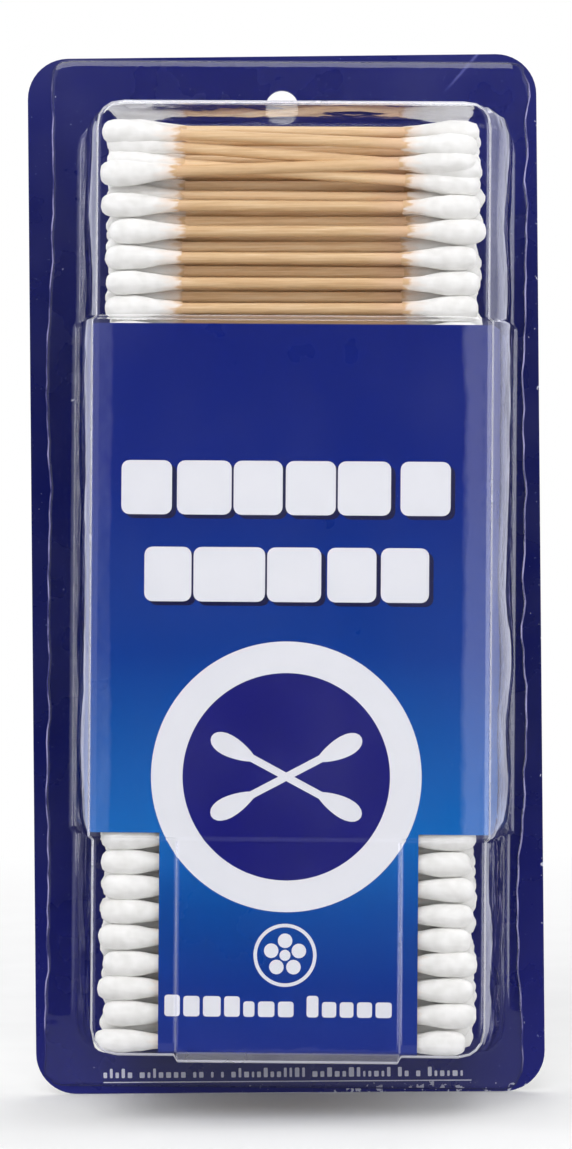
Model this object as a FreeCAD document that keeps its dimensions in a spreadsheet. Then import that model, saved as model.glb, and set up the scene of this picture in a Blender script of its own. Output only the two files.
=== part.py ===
import FreeCAD, Part
import math
import os
import re
import Sketcher

# Cotton swab box: a hanging card that carries a clear formed blister, a printed
# insert folded inside the blister, and a stack of wooden swabs with cotton tips.
# Millimetres. The pack hangs upright: +Z is up, the front looks towards -Y, and
# the origin is the middle of the hang hole on the back face of the card.

# Driving dimensions: name and value in millimetres, unless the group says more.
SIZES = {
    # Swabs (the first two are counts)
    "swab_total": 400,
    "layer_count": 11,
    "swab_length": 75.5,
    "stick_diameter": 2.25,
    "tip_diameter": 4.5,
    "tip_length": 15.5,
    "bulb_length": 8.5,
    "nose_length": 1.3,
    "nose_face_inset": 0.9,
    "neck_wall": 0.25,
    "nose_cover": 3.0,
    "bore_clearance": 0.03,
    # Stacking
    "row_gap": 0.55,
    "layer_gap": 0.05,
    "end_clearance": 1.35,
    "head_room": 3.4,
    "card_clearance": 0.1,
    # Folded insert
    "insert_thickness": 0.4,
    "sheet_clearance": 0.1,
    "insert_height": 101.7,
    "insert_drop": 44.3,
    "wing_clearance": 4.0,
    "tongue_width": 51.7,
    "tongue_root": 3.0,
    "flap_length": 14.0,
    # Clear blister
    "film_thickness": 0.35,
    "side_draft": 6.05,
    "top_draft": 0.3,
    "bottom_draft": 4.4,
    "top_corner_radius": 3.0,
    "bottom_corner_radius": 5.0,
    "edge_radius": 1.0,
    "band_step": 0.8,
    "band_end_draft": 1.5,
    "band_corner_extra": 0.2,
    "rib_width": 44.0,
    "rib_step": 0.5,
    "rib_end_step": 1.2,
    "rib_side_draft": 1.5,
    "rib_corner_radius": 2.0,
    "flange_land": 5.5,
    "flange_aside": 1.5,
    "flange_end_inset": 1.0,
    "flange_corner_radius": 4.0,
    # Backing card
    "card_thickness": 0.5,
    "card_border": 3.0,
    "card_bottom_margin": 9.2,
    "card_corner_radius": 8.6,
    "hang_hole_radius": 3.5,
    "hang_hole_drop": 10.8,
    "hole_land": 0.8,
    # Place of the blister on the card (the skew in degrees)
    "blister_offset": 3.1,
    "blister_skew": 0.9,
}

# The stack: full rows alternate with rows one swab shorter, set half a pitch up.
ROW_PITCH = "(tip_diameter + row_gap)"
LAYER_PITCH = f"sqrt((tip_diameter + layer_gap)^2 - ({ROW_PITCH} / 2)^2)"
FULL_ROWS = "ceil((swab_total + floor(layer_count / 2)) / layer_count)"
STACK_HEIGHT = f"(({FULL_ROWS} - 1) * {ROW_PITCH} + tip_diameter)"
STACK_DEPTH = f"((layer_count - 1) * {LAYER_PITCH} + tip_diameter)"

# The room that one sheet of the insert takes between the film and the swabs.
SHEET_ROOM = "(insert_thickness + 2 * sheet_clearance)"

# The cavity of the plain dome, at its front face.
CAVITY_HALF = "(swab_length / 2 + end_clearance)"
CAVITY_DEPTH = f"({STACK_DEPTH} + {SHEET_ROOM} + card_clearance)"
CAVITY_TOP = "(-(hang_hole_radius + hole_land + top_draft + film_thickness))"
CAVITY_BOTTOM = f"({CAVITY_TOP} - head_room - {STACK_HEIGHT} - {SHEET_ROOM})"

# The insert's front panel, which clears the rounded corners at the band's two ends.
PANEL_TOP = f"({CAVITY_TOP} - insert_drop)"
PANEL_BOTTOM = f"({PANEL_TOP} - insert_height)"
BAND_CORNER = "(edge_radius + band_corner_extra)"
BAND_END_ROOM = f"({BAND_CORNER} - film_thickness)"
BAND_HALF = f"({CAVITY_HALF} + band_step)"
BAND_DEPTH = f"({CAVITY_DEPTH} + band_step)"

# The flange and the card, outside the dome's foot.
FOOT_HALF = f"({CAVITY_HALF} + film_thickness + side_draft)"
FOOT_BOTTOM = f"({CAVITY_BOTTOM} - film_thickness - bottom_draft)"
FLANGE_HALF = f"({FOOT_HALF} + flange_land)"
CARD_HALF = f"({FLANGE_HALF} + card_border)"
CARD_BOTTOM = f"({FOOT_BOTTOM} - card_bottom_margin)"

# Distance within which two points count as one.
TOUCH = 1e-4

doc = FreeCAD.newDocument("cotton_swab_box")
sheet = doc.addObject("Spreadsheet::Sheet", "Sizes")
for line, (name, size) in enumerate(SIZES.items(), start=1):
    sheet.set(f"A{line}", name)
    sheet.set(f"B{line}", str(size))
    sheet.setAlias(f"B{line}", name)
doc.recompute()


def bind(item, path, formula):
    """Bind a property to a formula of the sheet's named sizes."""
    cells = re.sub("[a-z_]+", lambda word: f"Sizes.{word[0]}" if word[0] in SIZES else word[0], formula)
    item.setExpression(path, cells)


def new_body(name):
    return doc.addObject("PartDesign::Body", name)


def origin_item(body, role):
    """A body's own origin plane or axis."""
    return next(item for item in body.Origin.OriginFeatures if item.Role == role)


def new_sketch(body, name, plane, along="0", up="0", out="0"):
    """A sketch on one of the body's origin planes, moved by three formulas in that plane's frame."""
    sketch = body.newObject("Sketcher::SketchObject", name)
    sketch.AttachmentSupport = (origin_item(body, plane), "")
    sketch.MapMode = "FlatFace"
    bind(sketch, "AttachmentOffset.Base.x", along)
    bind(sketch, "AttachmentOffset.Base.y", up)
    bind(sketch, "AttachmentOffset.Base.z", out)
    return sketch


def constrain(sketch, formula, *constraint):
    """Add a dimension to a sketch and bind it to a formula."""
    index = sketch.addConstraint(Sketcher.Constraint(*constraint))
    bind(sketch, f"Constraints[{index}]", formula)


def polygon(sketch, points):
    """A closed outline through points given as pairs of formulas."""
    count = len(points)
    for index in range(count):
        start = FreeCAD.Vector(index, index % 2, 0)
        stop = FreeCAD.Vector(index + 1, (index + 1) % 2, 0)
        sketch.addGeometry(Part.LineSegment(start, stop), False)
    for index in range(count):
        sketch.addConstraint(Sketcher.Constraint("Coincident", index, 2, (index + 1) % count, 1))
    for index, (across, up) in enumerate(points):
        constrain(sketch, across, "DistanceX", -1, 1, index, 1, 1.0)
        constrain(sketch, up, "DistanceY", -1, 1, index, 1, 1.0)


def rounded_rectangle(sketch, left, right, bottom, top, bottom_radius, top_radius):
    """A rectangle with tangent corner arcs; its sides and radii are formulas."""
    sides = [((-9, -10), (9, -10)), ((10, -9), (10, 9)), ((9, 10), (-9, 10)), ((-10, 9), (-10, -9))]
    for start, stop in sides:
        sketch.addGeometry(Part.LineSegment(FreeCAD.Vector(*start, 0), FreeCAD.Vector(*stop, 0)), False)
    for quarter, (across, up) in enumerate([(-9, -9), (9, -9), (9, 9), (-9, 9)]):
        circle = Part.Circle(FreeCAD.Vector(across, up, 0), FreeCAD.Vector(0, 0, 1), 1)
        start = math.radians(180 + 90 * quarter)
        sketch.addGeometry(Part.ArcOfCircle(circle, start, start + math.radians(90)), False)
    for side, direction in enumerate(["Horizontal", "Vertical", "Horizontal", "Vertical"]):
        arc = side + 4
        sketch.addConstraint(Sketcher.Constraint("Tangent", (side - 1) % 4, 2, arc, 1))
        sketch.addConstraint(Sketcher.Constraint("Tangent", arc, 2, side, 1))
        sketch.addConstraint(Sketcher.Constraint(direction, side))
    constrain(sketch, bottom, "DistanceY", -1, 1, 0, 1, -10.0)
    constrain(sketch, right, "DistanceX", -1, 1, 1, 1, 10.0)
    constrain(sketch, top, "DistanceY", -1, 1, 2, 1, 10.0)
    constrain(sketch, left, "DistanceX", -1, 1, 3, 1, -10.0)
    for arc, radius in zip(range(4, 8), [bottom_radius, bottom_radius, top_radius, top_radius]):
        constrain(sketch, radius, "Radius", arc, 1.0)


def round_hole(sketch, across, up, radius):
    """A circle whose middle and radius are formulas."""
    circle = sketch.addGeometry(Part.Circle(FreeCAD.Vector(1, 1, 0), FreeCAD.Vector(0, 0, 1), 1), False)
    constrain(sketch, across, "DistanceX", -1, 1, circle, 3, 1.0)
    constrain(sketch, up, "DistanceY", -1, 1, circle, 3, 1.0)
    constrain(sketch, radius, "Radius", circle, 1.0)


def pad(body, name, sketch, length, both_ways=False):
    feature = body.newObject("PartDesign::Pad", name)
    feature.Profile = sketch
    feature.Midplane = both_ways
    bind(feature, "Length", length)
    return feature


def round_edges(body, name, base, radius, chosen):
    """Fillet the edges of a feature that the test picks."""
    doc.recompute()
    edges = [f"Edge{index}" for index, edge in enumerate(base.Shape.Edges, start=1) if chosen(edge)]
    fillet = body.newObject("PartDesign::Fillet", name)
    fillet.Base = (base, edges)
    bind(fillet, "Radius", radius)
    return fillet


def in_plane(edge, sketch):
    """True for an edge that lies in the plane of a sketch that faces the front."""
    places = [vertex.Point.y for vertex in edge.Vertexes] + [edge.CenterOfMass.y]
    return all(abs(place - sketch.Placement.Base.y) < TOUCH for place in places)


def from_corner(edge, sketch, corner):
    """True for a straight edge that a pad draws out of one corner of its sketch."""
    point = sketch.Placement.multVec(sketch.getPoint(corner, 1))
    run = (edge.Vertexes[-1].Point - edge.Vertexes[0].Point).normalize()
    upright = sketch.Placement.Rotation.multVec(FreeCAD.Vector(0, 0, 1))
    return abs(run.dot(upright)) > 1 - TOUCH and edge.distToShape(Part.Vertex(point))[0] < TOUCH


def formed_block(name, inside, half, top, bottom, depth, drafts, radii):
    """One tapered block of the blister, from its open foot at the card to its front face.

    Its sizes are those of the cavity; the outside is larger by the film all round.
    The drafts are those of the sides, top and bottom, and the radii are those of the
    bottom and top corners."""
    film = "0" if inside else "film_thickness"
    side_draft, top_draft, bottom_draft = drafts
    corners = [f"{radius} - film_thickness + {film}" for radius in radii]
    body = new_body(name)
    front = new_sketch(body, f"{name}_front", "XZ_Plane", out=f"card_thickness + {depth} + {film}")
    edge = f"{half} + {film}"
    rounded_rectangle(front, f"-({edge})", edge, f"{bottom} - {film}", f"{top} + {film}", *corners)
    foot = new_sketch(body, f"{name}_foot", "XZ_Plane", out="card_thickness")
    edge = f"{half} + {side_draft} + {film}"
    foot_bottom = f"{bottom} - {bottom_draft} - {film}"
    foot_top = f"{top} + {top_draft} + {film}"
    rounded_rectangle(foot, f"-({edge})", edge, foot_bottom, foot_top, *corners)
    loft = body.newObject("PartDesign::AdditiveLoft", f"{name}_wall")
    loft.Profile = foot
    loft.Sections = [front]
    loft.Ruled = True
    rounding = f"edge_radius - film_thickness + {film}"
    round_edges(body, f"{name}_edge", loft, rounding, lambda edge: in_plane(edge, front))
    return body


def formed_blocks(inside):
    """The dome over the whole stack, the raised band around the insert and the rib below it."""
    side = "inside" if inside else "outside"
    dome = formed_block(
        f"dome_{side}",
        inside,
        CAVITY_HALF,
        CAVITY_TOP,
        CAVITY_BOTTOM,
        CAVITY_DEPTH,
        ["side_draft", "top_draft", "bottom_draft"],
        ["bottom_corner_radius", "top_corner_radius"],
    )
    band = formed_block(
        f"band_{side}",
        inside,
        BAND_HALF,
        f"({PANEL_TOP} + {BAND_END_ROOM})",
        f"({PANEL_BOTTOM} - {BAND_END_ROOM})",
        BAND_DEPTH,
        ["side_draft", "band_end_draft", "band_end_draft"],
        [BAND_CORNER, BAND_CORNER],
    )
    rib = formed_block(
        f"rib_{side}",
        inside,
        "rib_width / 2",
        PANEL_BOTTOM,
        f"({CAVITY_BOTTOM} - rib_end_step)",
        f"({CAVITY_DEPTH} + rib_step)",
        ["rib_side_draft", "0", "bottom_draft"],
        ["rib_corner_radius", "rib_corner_radius"],
    )
    fused = doc.addObject("Part::MultiFuse", f"form_{side}")
    fused.Shapes = [dome, band, rib]
    return fused


def set_in_place(item):
    """Turn a piece that belongs to the blister by its skew about the hang hole, and set it aside."""
    item.Placement = FreeCAD.Placement(FreeCAD.Vector(0, 0, 0), FreeCAD.Rotation(FreeCAD.Vector(0, 1, 0), 1))
    bind(item, "Placement.Rotation.Angle", "blister_skew")
    bind(item, "Placement.Base.x", "blister_offset")
    return item


def backing_card():
    """Flat card with rounded corners and a round hang hole."""
    body = new_body("backing_card")
    outline = new_sketch(body, "card_outline", "XZ_Plane")
    radii = ["card_corner_radius"] * 2
    rounded_rectangle(outline, f"-{CARD_HALF}", CARD_HALF, CARD_BOTTOM, "hang_hole_drop", *radii)
    round_hole(outline, "0", "0", "hang_hole_radius")
    pad(body, "card_board", outline, "card_thickness")
    return body


def blister():
    """Clear film: a flange on the card with the hollow dome, band and rib formed out of it."""
    body = new_body("flange")
    outline = new_sketch(body, "flange_outline", "XZ_Plane", out="card_thickness")
    rounded_rectangle(
        outline,
        f"-{FLANGE_HALF} - flange_aside",
        f"{FLANGE_HALF} - flange_aside",
        f"{CARD_BOTTOM} + flange_end_inset",
        "hang_hole_drop - flange_end_inset",
        "flange_corner_radius",
        "flange_corner_radius",
    )
    across = "-blister_offset * cos(blister_skew)"
    up = "-blister_offset * sin(blister_skew)"
    round_hole(outline, across, up, "hang_hole_radius")
    pad(body, "flange_film", outline, "film_thickness")
    solid = doc.addObject("Part::MultiFuse", "blister_solid")
    solid.Shapes = [body, formed_blocks(inside=False)]
    hollow = doc.addObject("Part::Cut", "blister")
    hollow.Base = solid
    hollow.Tool = formed_blocks(inside=True)
    return set_in_place(hollow)


def front_insert():
    """Printed card sheet: a front panel, two wings folded back along the blister's sides,
    and a tongue that runs down the front and folds back under the stack."""
    front = f"({CAVITY_DEPTH} - sheet_clearance)"

    def wing(depth):
        """Half width of the sheet's outer face where the band's side wall has this depth."""
        return f"({BAND_HALF} + side_draft * (1 - {depth} / {BAND_DEPTH}) - sheet_clearance)"

    def under(depth):
        """Height of the sheet's lower face where the dome's bottom wall has this depth."""
        return f"({CAVITY_BOTTOM} - bottom_draft * (1 - {depth} / {CAVITY_DEPTH}) + sheet_clearance)"

    def outwards(depth):
        return f"-(card_thickness + {depth})"

    inner = f"({front} - insert_thickness)"
    flap_end = f"({front} - flap_length)"
    tongue_top = f"{PANEL_BOTTOM} + tongue_root"
    body = new_body("front_insert")
    fold = new_sketch(body, "tongue_fold", "YZ_Plane")
    outline = [
        (outwards(front), tongue_top),
        (outwards(front), under(front)),
        (outwards(flap_end), under(flap_end)),
        (outwards(flap_end), f"{under(flap_end)} + insert_thickness"),
        (outwards(inner), f"{under(inner)} + insert_thickness"),
        (outwards(inner), tongue_top),
    ]
    polygon(fold, outline)
    tongue = pad(body, "tongue", fold, "tongue_width", both_ways=True)
    outer_bend = round_edges(
        body, "tongue_outer_bend", tongue, "edge_radius", lambda edge: from_corner(edge, fold, 1)
    )
    inner_radius = "edge_radius - insert_thickness"
    round_edges(body, "tongue_inner_bend", outer_bend, inner_radius, lambda edge: from_corner(edge, fold, 4))
    section = new_sketch(body, "panel_section", "XY_Plane", out=PANEL_BOTTOM)
    back = "wing_clearance"
    right = [
        (wing(back), outwards(back)),
        (wing(front), outwards(front)),
    ]
    left = [(f"-{across}", out) for across, out in reversed(right)]
    inside_left = [
        (f"-{wing(back)} + insert_thickness", outwards(back)),
        (f"-{wing(inner)} + insert_thickness", outwards(inner)),
    ]
    inside_right = [(f"-({across})", out) for across, out in reversed(inside_left)]
    polygon(section, right + left + inside_left + inside_right)
    panel = pad(body, "panel_and_wings", section, "insert_height")
    outer_bends = round_edges(
        body,
        "panel_outer_bends",
        panel,
        "edge_radius",
        lambda edge: from_corner(edge, section, 1) or from_corner(edge, section, 2),
    )
    round_edges(
        body,
        "panel_inner_bends",
        outer_bends,
        inner_radius,
        lambda edge: from_corner(edge, section, 5) or from_corner(edge, section, 6),
    )
    return set_in_place(body)


def layer_row(body, feature, count):
    """Repeat a layer's lowest piece up the stack."""
    rows = body.newObject("PartDesign::LinearPattern", f"{body.Name}_rows")
    rows.Originals = [feature]
    rows.Direction = (origin_item(body, "Z_Axis"), [""])
    bind(rows, "Length", f"({count} - 1) * {ROW_PITCH}")
    bind(rows, "Occurrences", count)
    body.Tip = rows
    return set_in_place(body)


def stick_layer(name, out, up, count):
    """Round wooden sticks, whose ends sit in the cotton tips."""
    body = new_body(name)
    section = new_sketch(body, f"{name}_section", "YZ_Plane", along=f"-({out})", up=up)
    round_hole(section, "0", "0", "stick_diameter / 2")
    stick = pad(body, f"{name}_stick", section, "swab_length - 2 * nose_cover", both_ways=True)
    return layer_row(body, stick, count)


def tip_layer(name, side, out, up, count):
    """Wound cotton tips: a blunt nose, a fat bulb and a long taper, bored for the stick."""
    bore = "stick_diameter / 2 + bore_clearance"
    profile = [
        ("0", "0"),
        ("0", "tip_diameter / 2 - nose_face_inset"),
        ("nose_length", "tip_diameter / 2"),
        ("bulb_length", "tip_diameter / 2"),
        ("tip_length", "stick_diameter / 2 + neck_wall"),
        ("tip_length", bore),
        ("nose_cover", bore),
        ("nose_cover", "0"),
    ]
    body = new_body(name)
    outline = new_sketch(body, f"{name}_profile", "XZ_Plane", up=up, out=out)
    polygon(outline, [(f"{side} * (swab_length / 2 - {depth})", radius) for depth, radius in profile])
    tip = body.newObject("PartDesign::Revolution", f"{name}_tip")
    tip.Profile = outline
    tip.ReferenceAxis = (outline, ["H_Axis"])
    tip.Angle = 360
    return layer_row(body, tip, count)


def swab_layers():
    """Every layer of swabs, from the front to the card; the one at the card takes what is left."""
    layers = []
    last = SIZES["layer_count"] - 1
    for layer in range(last + 1):
        staggered = layer % 2
        out = f"card_thickness + card_clearance + tip_diameter / 2 + {last - layer} * {LAYER_PITCH}"
        up = f"{CAVITY_BOTTOM} + {SHEET_ROOM} + tip_diameter / 2 + {staggered} * {ROW_PITCH} / 2"
        count = f"{FULL_ROWS} - {staggered}"
        if layer == last:
            count = f"swab_total - {last} * {FULL_ROWS} + {last // 2}"
        number = f"{layer + 1:02d}"
        layers.append(stick_layer(f"swab_sticks_{number}", out, up, count))
        layers.append(tip_layer(f"left_cotton_tips_{number}", -1, out, up, count))
        layers.append(tip_layer(f"right_cotton_tips_{number}", 1, out, up, count))
    return layers


subparts = [backing_card(), blister(), front_insert(), *swab_layers()]
doc.recompute()

for item in doc.Objects:
    if "Invalid" in item.State or "Error" in item.State:
        raise RuntimeError(f"{item.Name} did not build: {item.State}")
for item in subparts:
    if item.Shape.isNull() or not item.Shape.isValid() or not item.Shape.Solids:
        raise RuntimeError(f"{item.Label} has no valid solid")

os.makedirs("parts", exist_ok=True)
for item in subparts:
    item.Shape.exportStep(f"parts/{item.Label}.step")
    print(f"{item.Label}: {len(item.Shape.Solids)} solids, {item.Shape.Volume:.1f} mm3")
print("swabs:", sum(len(item.Shape.Solids) for item in subparts if "sticks" in item.Label))
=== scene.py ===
import math
import random

import bmesh
import bpy
from mathutils import Matrix, Vector, noise


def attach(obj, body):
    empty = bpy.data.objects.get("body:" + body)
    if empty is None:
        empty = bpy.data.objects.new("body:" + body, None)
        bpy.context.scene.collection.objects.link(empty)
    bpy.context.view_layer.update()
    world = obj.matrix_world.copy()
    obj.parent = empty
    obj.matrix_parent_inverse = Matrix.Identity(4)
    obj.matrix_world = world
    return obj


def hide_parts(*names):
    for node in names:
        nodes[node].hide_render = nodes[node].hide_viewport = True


# Cotton swab box: a hanging card, a clear formed blister, a printed insert and 400 wooden swabs.
# Sizes in the dictionaries are millimetres. Meshes are made in metres, in the frame of the CAD model.

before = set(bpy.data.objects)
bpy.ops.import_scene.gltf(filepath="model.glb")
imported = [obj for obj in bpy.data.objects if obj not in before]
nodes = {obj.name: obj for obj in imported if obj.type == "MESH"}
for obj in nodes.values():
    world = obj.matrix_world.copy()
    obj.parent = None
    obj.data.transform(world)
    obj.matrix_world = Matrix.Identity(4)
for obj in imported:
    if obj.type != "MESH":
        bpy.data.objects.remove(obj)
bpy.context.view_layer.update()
mm = 0.001
scene = bpy.context.scene
print("frame:", len(nodes), "nodes")

# Where the blister, the insert and the swabs stand on the card
pack = {"skewDegrees": 0.9, "aside": 3.1}
toPack = Matrix.Translation((pack["aside"] * mm, 0, 0)) @ Matrix.Rotation(
    math.radians(pack["skewDegrees"]), 4, "Y"
)


# Node helpers: an input is either a constant or the socket that feeds it


def fill(tree, node, inputs):
    for name, value in inputs.items():
        if isinstance(value, bpy.types.NodeSocket):
            tree.links.new(value, node.inputs[name])
        else:
            node.inputs[name].default_value = value
    return node


def addNode(tree, kind, inputs=None, **settings):
    made = tree.nodes.new(kind)
    for name, value in settings.items():
        setattr(made, name, value)
    return fill(tree, made, inputs or {})


def calc(tree, operation, *values):
    return addNode(tree, "ShaderNodeMath", dict(enumerate(values)), operation=operation).outputs[0]


def vectorCalc(tree, operation, *values):
    return addNode(tree, "ShaderNodeVectorMath", dict(enumerate(values)), operation=operation).outputs[0]


def split(tree, at):
    return addNode(tree, "ShaderNodeSeparateXYZ", {0: at}).outputs


def noiseAt(tree, at, scale, detail=2.0, output=0):
    made = addNode(tree, "ShaderNodeTexNoise", {"Vector": at, "Scale": scale, "Detail": detail})
    return made.outputs[output]


def remap(tree, value, low, high, first=0.0, last=1.0):
    return addNode(tree, "ShaderNodeMapRange", {0: value, 1: low, 2: high, 3: first, 4: last}).outputs[0]


def mixValues(tree, share, first, second):
    return addNode(tree, "ShaderNodeMix", {0: share, 2: first, 3: second}, data_type="FLOAT").outputs[0]


def blendColours(tree, share, first, second):
    return addNode(tree, "ShaderNodeMix", {0: share, 6: first, 7: second}, data_type="RGBA").outputs[2]


# sRGB 0-255 to the linear value that a socket holds
def colour(red, green, blue):
    shares = [level / 255 for level in (red, green, blue)]
    return tuple(c / 12.92 if c <= 0.04045 else ((c + 0.055) / 1.055) ** 2.4 for c in shares) + (1.0,)


def ramp(tree, value, stops):
    made = addNode(tree, "ShaderNodeValToRGB", {0: value})
    points = made.color_ramp.elements
    while len(points) < len(stops):
        points.new(0.5)
    for point, (where, shade) in zip(points, stops):
        point.position = where
        point.color = shade if isinstance(shade, tuple) else (shade, shade, shade, 1)
    return made.outputs[0]


def addBump(tree, shader, height, distance, strength):
    bump = addNode(tree, "ShaderNodeBump", {"Height": height, "Distance": distance, "Strength": strength})
    tree.links.new(bump.outputs[0], shader.inputs["Normal"])


def newMaterial(name):
    made = bpy.data.materials.new(name)
    made.use_nodes = True
    tree = made.node_tree
    return made, tree, tree.nodes["Principled BSDF"], addNode(tree, "ShaderNodeTexCoord").outputs["Object"]


# A group whose inputs are floats with a default, or vectors where the default is None
def newGroup(name, ins, outs):
    group = bpy.data.node_groups.new(name, "ShaderNodeTree")
    for label, value in ins.items():
        kind = "NodeSocketVector" if value is None else "NodeSocketFloat"
        socket = group.interface.new_socket(label, in_out="INPUT", socket_type=kind)
        if value is not None:
            socket.default_value = value
    for label in outs:
        group.interface.new_socket(label, in_out="OUTPUT", socket_type="NodeSocketFloat")
    return group, group.nodes.new("NodeGroupInput").outputs, group.nodes.new("NodeGroupOutput")


# Fine fibres that run along X: used by the wood and the cotton
def fibreGroup():
    group, given, result = newGroup(
        "fibres", {"Place": None, "Across": 3000.0, "Along": 150.0, "Detail": 3.0}, ["Value"]
    )
    scale = addNode(group, "ShaderNodeCombineXYZ", {0: given["Along"], 1: given["Across"], 2: given["Across"]})
    moved = vectorCalc(group, "MULTIPLY", given["Place"], scale.outputs[0])
    settings = {"Vector": moved, "Scale": 1.0, "Detail": given["Detail"], "Roughness": 0.6}
    fill(group, result, {"Value": addNode(group, "ShaderNodeTexNoise", settings).outputs[0]})
    return group


# Faint smudges and dust that vary the shine: used by the card, the insert and the print
def smudgeGroup():
    group, given, result = newGroup(
        "smudges", {"Place": None, "Size": 60.0, "Low": 0.2, "High": 0.4}, ["Roughness", "Dust"]
    )
    soft = noiseAt(group, given["Place"], given["Size"], 5.0)
    specks = noiseAt(group, given["Place"], 1400.0)
    rough = remap(group, soft, 0.3, 0.7, given["Low"], given["High"])
    fill(group, result, {"Roughness": rough, "Dust": remap(group, specks, 0.72, 0.8)})
    return group


fibres = fibreGroup()
smudges = smudgeGroup()


def useGroup(tree, group, at, **values):
    return addNode(tree, "ShaderNodeGroup", {"Place": at, **values}, node_tree=group).outputs


# Printed card: the two dark levels, wear and a crease on the front, bare board on the sides and the back

cardLook = {
    "navyTop": (14, 20, 100),
    "navyMiddle": (3, 9, 76),
    # Bottom navy: the print's own tone, made paler as painted light on the strip that the blister shades
    "navyBottomWithPaintedLight": (15, 19, 112),
    "navyTint": (30, 40, 130),
    "dust": (150, 160, 210),
    "worn": (196, 198, 216),
    "creased": (96, 100, 170),
    "board": (196, 190, 178),
    "boardDark": (60, 62, 110),
    "back": (205, 203, 198),
    "backPale": (222, 221, 217),
    "ends": (-209.0, 11.0),
    "wornBottom": (-206.2, -208.2),
    "wornFromX": (-20.0, 20.0),
    "wornRight": (53.0, 54.1),
    "creaseNormal": (0.664, 0.747),
    "creaseAway": 23.9,
    "creaseWidth": (0.4, 0.1),
    "creaseAbove": (2.6, 6.0),
}


def cardMaterial():
    c = cardLook
    made, tree, shader, at = newMaterial("cardPrint")
    x, _, z = split(tree, at)

    def along(value, name, last=1.0):
        return remap(tree, value, c[name][0] * mm, c[name][1] * mm, 0.0, last)

    # The lowest stop is print made paler with painted light, where the blister shades the card
    stops = ((0.0, "navyBottomWithPaintedLight"), (0.35, "navyMiddle"), (0.7, "navyMiddle"), (1.0, "navyTop"))
    navy = ramp(tree, along(z, "ends"), [(where, colour(*c[name])) for where, name in stops])
    smudge = useGroup(tree, smudges, at, Size=55.0, Low=0.22, High=0.36)
    tint = calc(tree, "MULTIPLY", noiseAt(tree, at, 30.0, 4.0), 0.25)
    navy = blendColours(tree, tint, navy, colour(*c["navyTint"]))
    navy = blendColours(tree, calc(tree, "MULTIPLY", smudge["Dust"], 0.35), navy, colour(*c["dust"]))
    low = calc(tree, "MULTIPLY", along(z, "wornBottom"), along(x, "wornFromX"))
    rubbed = calc(tree, "MULTIPLY", calc(tree, "MAXIMUM", low, along(x, "wornRight", 0.75)), 0.2)
    worn = remap(tree, calc(tree, "ADD", noiseAt(tree, at, 900.0, 3.0), rubbed), 0.76, 0.8)
    navy = blendColours(tree, worn, navy, colour(*c["worn"]))
    # Crease near the upper right corner
    upward, sideways = c["creaseNormal"]
    crossing = calc(tree, "SUBTRACT", calc(tree, "MULTIPLY", z, upward), calc(tree, "MULTIPLY", x, sideways))
    crossing = calc(tree, "ABSOLUTE", calc(tree, "ADD", crossing, c["creaseAway"] * mm))
    crease = calc(tree, "MULTIPLY", along(crossing, "creaseWidth"), along(z, "creaseAbove"))
    navy = blendColours(tree, calc(tree, "MULTIPLY", crease, 0.6), navy, colour(*c["creased"]))
    facing = split(tree, addNode(tree, "ShaderNodeNewGeometry").outputs["Normal"])[1]
    front = calc(tree, "LESS_THAN", facing, -0.5)
    back = calc(tree, "GREATER_THAN", facing, 0.5)
    pulp = noiseAt(tree, at, 900.0, 6.0)
    paper = ramp(tree, pulp, [(0.35, colour(*c["back"])), (0.65, colour(*c["backPale"]))])
    side = blendColours(tree, pulp, colour(*c["board"]), colour(*c["boardDark"]))
    bare = blendColours(tree, back, side, paper)
    rough = mixValues(tree, front, 0.75, smudge["Roughness"])
    fill(tree, shader, {"Base Color": blendColours(tree, front, bare, navy), "Roughness": rough})
    addBump(tree, shader, pulp, 0.00003, 0.25)
    return made


# Colours of the insert from the end of the tongue up to the panel's top edge
insertLook = {
    "ends": (-196.0, -49.0),
    "skew": 0.0157,
    "stops": (
        # The first stop, paler and violet at the tongue's end, is a painted reflection of a soft lamp over the
        # print
        (0.0, (24, 44, 134)),
        (0.1, (6, 50, 138)),
        (0.2, (0, 72, 154)),
        (0.305, (0, 100, 180)),
        (0.55, (0, 56, 142)),
        (0.8, (5, 32, 122)),
        (1.0, (8, 28, 116)),
    ),
    "board": ((214, 212, 206), (228, 227, 222)),
}


def insertMaterial():
    made, tree, shader, at = newMaterial("insertPrint")
    x, _, z = split(tree, at)
    skewed = calc(tree, "ADD", z, calc(tree, "MULTIPLY", x, insertLook["skew"]))
    low, high = insertLook["ends"]
    height = remap(tree, skewed, low * mm, high * mm)
    printed = ramp(tree, height, [(where, colour(*shade)) for where, shade in insertLook["stops"]])
    smudge = useGroup(tree, smudges, at, Size=45.0, Low=0.25, High=0.4)
    fill(tree, shader, {"Base Color": printed, "Specular IOR Level": 0.3, "Roughness": smudge["Roughness"]})
    return made


def insertBackMaterial():
    made, tree, shader, at = newMaterial("insertBoard")
    pulp = noiseAt(tree, at, 900.0, 6.0)
    dark, pale = insertLook["board"]
    paper = ramp(tree, pulp, [(0.35, colour(*dark)), (0.65, colour(*pale))])
    fill(tree, shader, {"Base Color": paper, "Roughness": 0.8})
    addBump(tree, shader, pulp, 0.00003, 0.3)
    return made


def inkMaterial(name, shade, darker):
    made, tree, shader, at = newMaterial(name)
    smudge = useGroup(tree, smudges, at, Size=50.0, Low=0.28, High=0.42)
    ink = blendColours(tree, noiseAt(tree, at, 120.0, 4.0), colour(*shade), colour(*darker))
    fill(tree, shader, {"Base Color": ink, "Roughness": smudge["Roughness"]})
    return made


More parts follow.
